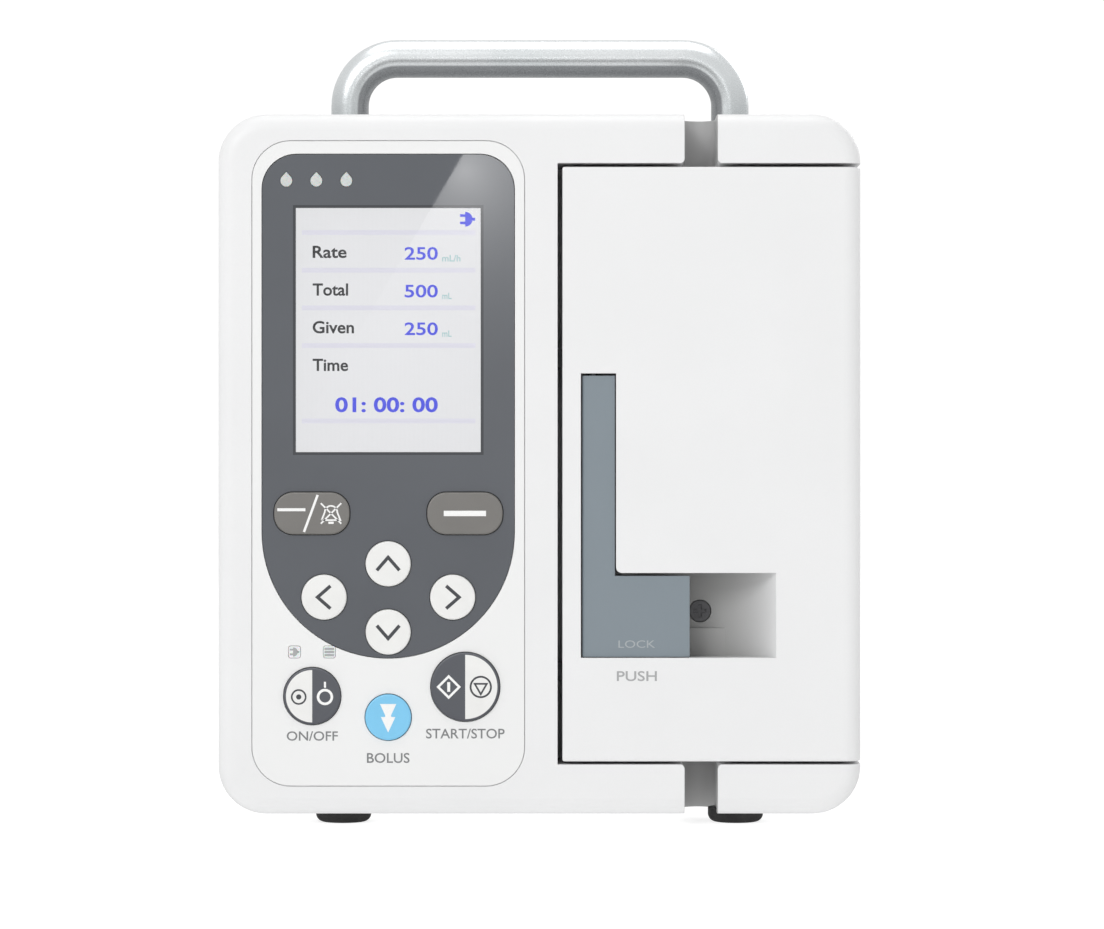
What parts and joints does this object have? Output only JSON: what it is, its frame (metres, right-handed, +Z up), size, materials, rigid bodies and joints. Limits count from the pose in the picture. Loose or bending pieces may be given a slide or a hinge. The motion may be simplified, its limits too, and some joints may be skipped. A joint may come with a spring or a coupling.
{
  "type": "infusion pump",
  "caption": "Bedside infusion pump with a carry handle, keypad and display on the left, a latched door over a finger pump mechanism on the right, and a rear pole clamp.",
  "frame": {"origin": "middle of the bounding box in X and Y, on the table plane under the feet", "axes": "+X to the right as a person facing the pump sees it, +Y from the front of the pump to its back, +Z up"},
  "size_m": [0.174, 0.126, 0.2174],
  "materials": {
    "case_white": "fine moulded texture, cool near-white",
    "door_white": "fine moulded texture, cool near-white",
    "film_light": "satin printed film",
    "lens_slate": "glossy dark slate",
    "window_clear": "clear, anti-glare",
    "screen": "lit display",
    "frame_grey": "moulded",
    "pcb_green": "solder mask",
    "switch_black": "moulded",
    "key_white": "satin rubber-coated",
    "key_grey": "satin",
    "key_blue": "satin",
    "pipe_grey": "translucent light pipe",
    "latch_grey": "satin blue-grey",
    "foot_rubber": "matt",
    "handle_metal": "satin anodised",
    "steel": "bright",
    "dark_steel": "black oxide",
    "brass": "machined",
    "chassis_grey": "moulded",
    "finger_white": "low-friction acetal",
    "gear_white": "acetal",
    "motor_black": "satin",
    "battery_blue": "shrink wrap",
    "inlet_black": "moulded",
    "sensor_grey": "moulded",
    "clamp_alloy": "powder coat",
    "knob_black": "moulded",
    "liner_grey": "moulded"
  },
  "bodies": {
    "housing": {"front_housing": "case_white", "rear_housing": "case_white", "case_screws": "dark_steel", "carry_handle": "handle_metal", "rubber_feet": "foot_rubber", "display_lens": "lens_slate", "window_pane": "window_clear", "keypad_overlay": "film_light", "lcd_panel": "screen", "lcd_frame": "frame_grey", "drop_lenses": "pipe_grey", "status_lenses": "pipe_grey", "keypad_board": "pcb_green", "key_switches": "switch_black", "main_board": "pcb_green", "battery_pack": "battery_blue", "battery_cover": "case_white", "mains_inlet": "inlet_black", "port_socket": "inlet_black", "speaker": "switch_black", "mechanism_chassis": "chassis_grey", "chassis_screws": "steel", "camshaft_bearings": "steel", "stepper_motor": "motor_black", "pressure_sensor": "sensor_grey", "air_sensor": "sensor_grey", "latch_keepers": "steel", "pole_clamp_bracket": "clamp_alloy", "clamp_bracket_screws": "steel"},
    "door": {"door_shell": "door_white", "door_liner": "liner_grey", "door_screws": "steel", "door_hinge_pins": "steel", "platen_springs": "steel"},
    "latch": {"latch_lever": "latch_grey", "latch_hook_shaft": "steel"},
    "pressure_plate": {"pressure_plate": "finger_white"},
    "camshaft": {"camshaft": "steel", "cam_gear": "gear_white"},
    "pinion": {"pinion_shaft": "brass"},
    "clamp_jaw": {"clamp_jaw": "knob_black"},
    "clamp_knob": {"clamp_spindle": "steel", "clamp_knob": "knob_black"},
    "pump_finger_1": {"pump_finger_1": "finger_white"},
    "pump_finger_2": {"pump_finger_2": "finger_white"},
    "pump_finger_3": {"pump_finger_3": "finger_white"},
    "pump_finger_4": {"pump_finger_4": "finger_white"},
    "pump_finger_5": {"pump_finger_5": "finger_white"},
    "pump_finger_6": {"pump_finger_6": "finger_white"},
    "pump_finger_7": {"pump_finger_7": "finger_white"},
    "pump_finger_8": {"pump_finger_8": "finger_white"},
    "key_up": {"key_up": "key_white"},
    "key_down": {"key_down": "key_white"},
    "key_left": {"key_left": "key_white"},
    "key_right": {"key_right": "key_white"},
    "key_power": {"key_power": "key_white"},
    "key_start_stop": {"key_start_stop": "key_white"},
    "key_bolus": {"key_bolus": "key_blue"},
    "key_soft_left": {"key_soft_left": "key_grey"},
    "key_soft_right": {"key_soft_right": "key_grey"}
  },
  "joints": [
    {"name": "door_swing", "type": "hinge", "parent": "housing", "child": "door", "pos_m": [0.083, -0.0462, 0.0977], "axis": [0, 0, 1], "range_deg": [0, 110]},
    {"name": "latch_turn", "type": "hinge", "parent": "door", "child": "latch", "pos_m": [0.0145, -0.0582, 0.0834], "axis": [0, 0, -1], "range_deg": [0, 50]},
    {"name": "camshaft_turn", "type": "hinge", "parent": "housing", "child": "camshaft", "pos_m": [0.0437, -0.0122, 0.098], "axis": [0, 0, 1], "continuous": true},
    {"name": "pinion_turn", "type": "hinge", "parent": "housing", "child": "pinion", "pos_m": [0.0181, -0.0122, 0.08], "axis": [0, 0, 1], "continuous": true},
    {"name": "clamp_jaw_slide", "type": "slide", "parent": "housing", "child": "clamp_jaw", "axis": [-1, 0, 0], "range_m": [0, 0.021]},
    {"name": "clamp_knob_turn", "type": "hinge", "parent": "clamp_jaw", "child": "clamp_knob", "pos_m": [0.06, 0.0445, 0.098], "axis": [-1, 0, 0], "range_deg": [0, 2520]},
    {"name": "pressure_plate_float", "type": "slide", "parent": "door", "child": "pressure_plate", "axis": [0, -1, 0], "range_m": [0, 0.0015], "stiffness_N_per_m": 4000, "springref_m": -0.001, "deforming": ["platen_springs"]},
    {"name": "press_soft_left", "type": "slide", "parent": "housing", "child": "key_soft_left", "axis": [0, 1, 0], "range_m": [0, 0.0006], "stiffness_N_per_m": 2500, "springref_m": -0.0002},
    {"name": "press_soft_right", "type": "slide", "parent": "housing", "child": "key_soft_right", "axis": [0, 1, 0], "range_m": [0, 0.0006], "stiffness_N_per_m": 2500, "springref_m": -0.0002},
    {"name": "press_up", "type": "slide", "parent": "housing", "child": "key_up", "axis": [0, 1, 0], "range_m": [0, 0.0006], "stiffness_N_per_m": 2500, "springref_m": -0.0002},
    {"name": "press_down", "type": "slide", "parent": "housing", "child": "key_down", "axis": [0, 1, 0], "range_m": [0, 0.0006], "stiffness_N_per_m": 2500, "springref_m": -0.0002},
    {"name": "press_left", "type": "slide", "parent": "housing", "child": "key_left", "axis": [0, 1, 0], "range_m": [0, 0.0006], "stiffness_N_per_m": 2500, "springref_m": -0.0002},
    {"name": "press_right", "type": "slide", "parent": "housing", "child": "key_right", "axis": [0, 1, 0], "range_m": [0, 0.0006], "stiffness_N_per_m": 2500, "springref_m": -0.0002},
    {"name": "press_power", "type": "slide", "parent": "housing", "child": "key_power", "axis": [0, 1, 0], "range_m": [0, 0.0006], "stiffness_N_per_m": 2500, "springref_m": -0.0002},
    {"name": "press_start_stop", "type": "slide", "parent": "housing", "child": "key_start_stop", "axis": [0, 1, 0], "range_m": [0, 0.0006], "stiffness_N_per_m": 2500, "springref_m": -0.0002},
    {"name": "press_bolus", "type": "slide", "parent": "housing", "child": "key_bolus", "axis": [0, 1, 0], "range_m": [0, 0.0006], "stiffness_N_per_m": 2500, "springref_m": -0.0002},
    {"name": "pump_finger_1_slide", "type": "slide", "parent": "housing", "child": "pump_finger_1", "axis": [0, 1, 0], "range_m": [0, 0.002]},
    {"name": "pump_finger_2_slide", "type": "slide", "parent": "housing", "child": "pump_finger_2", "axis": [0, 1, 0], "range_m": [-0.00029, 0.00171]},
    {"name": "pump_finger_3_slide", "type": "slide", "parent": "housing", "child": "pump_finger_3", "axis": [0, 1, 0], "range_m": [-0.001, 0.001]},
    {"name": "pump_finger_4_slide", "type": "slide", "parent": "housing", "child": "pump_finger_4", "axis": [0, 1, 0], "range_m": [-0.00171, 0.00029]},
    {"name": "pump_finger_5_slide", "type": "slide", "parent": "housing", "child": "pump_finger_5", "axis": [0, 1, 0], "range_m": [-0.002, 0]},
    {"name": "pump_finger_6_slide", "type": "slide", "parent": "housing", "child": "pump_finger_6", "axis": [0, 1, 0], "range_m": [-0.00171, 0.00029]},
    {"name": "pump_finger_7_slide", "type": "slide", "parent": "housing", "child": "pump_finger_7", "axis": [0, 1, 0], "range_m": [-0.001, 0.001]},
    {"name": "pump_finger_8_slide", "type": "slide", "parent": "housing", "child": "pump_finger_8", "axis": [0, 1, 0], "range_m": [-0.00029, 0.00171]}
  ],
  "couplings": [
    {"joint": "pinion_turn", "follows": "camshaft_turn", "ratio": -3},
    {"joint": "clamp_knob_turn", "follows": "clamp_jaw_slide", "rad_per_m": 2094.4}
  ]
}
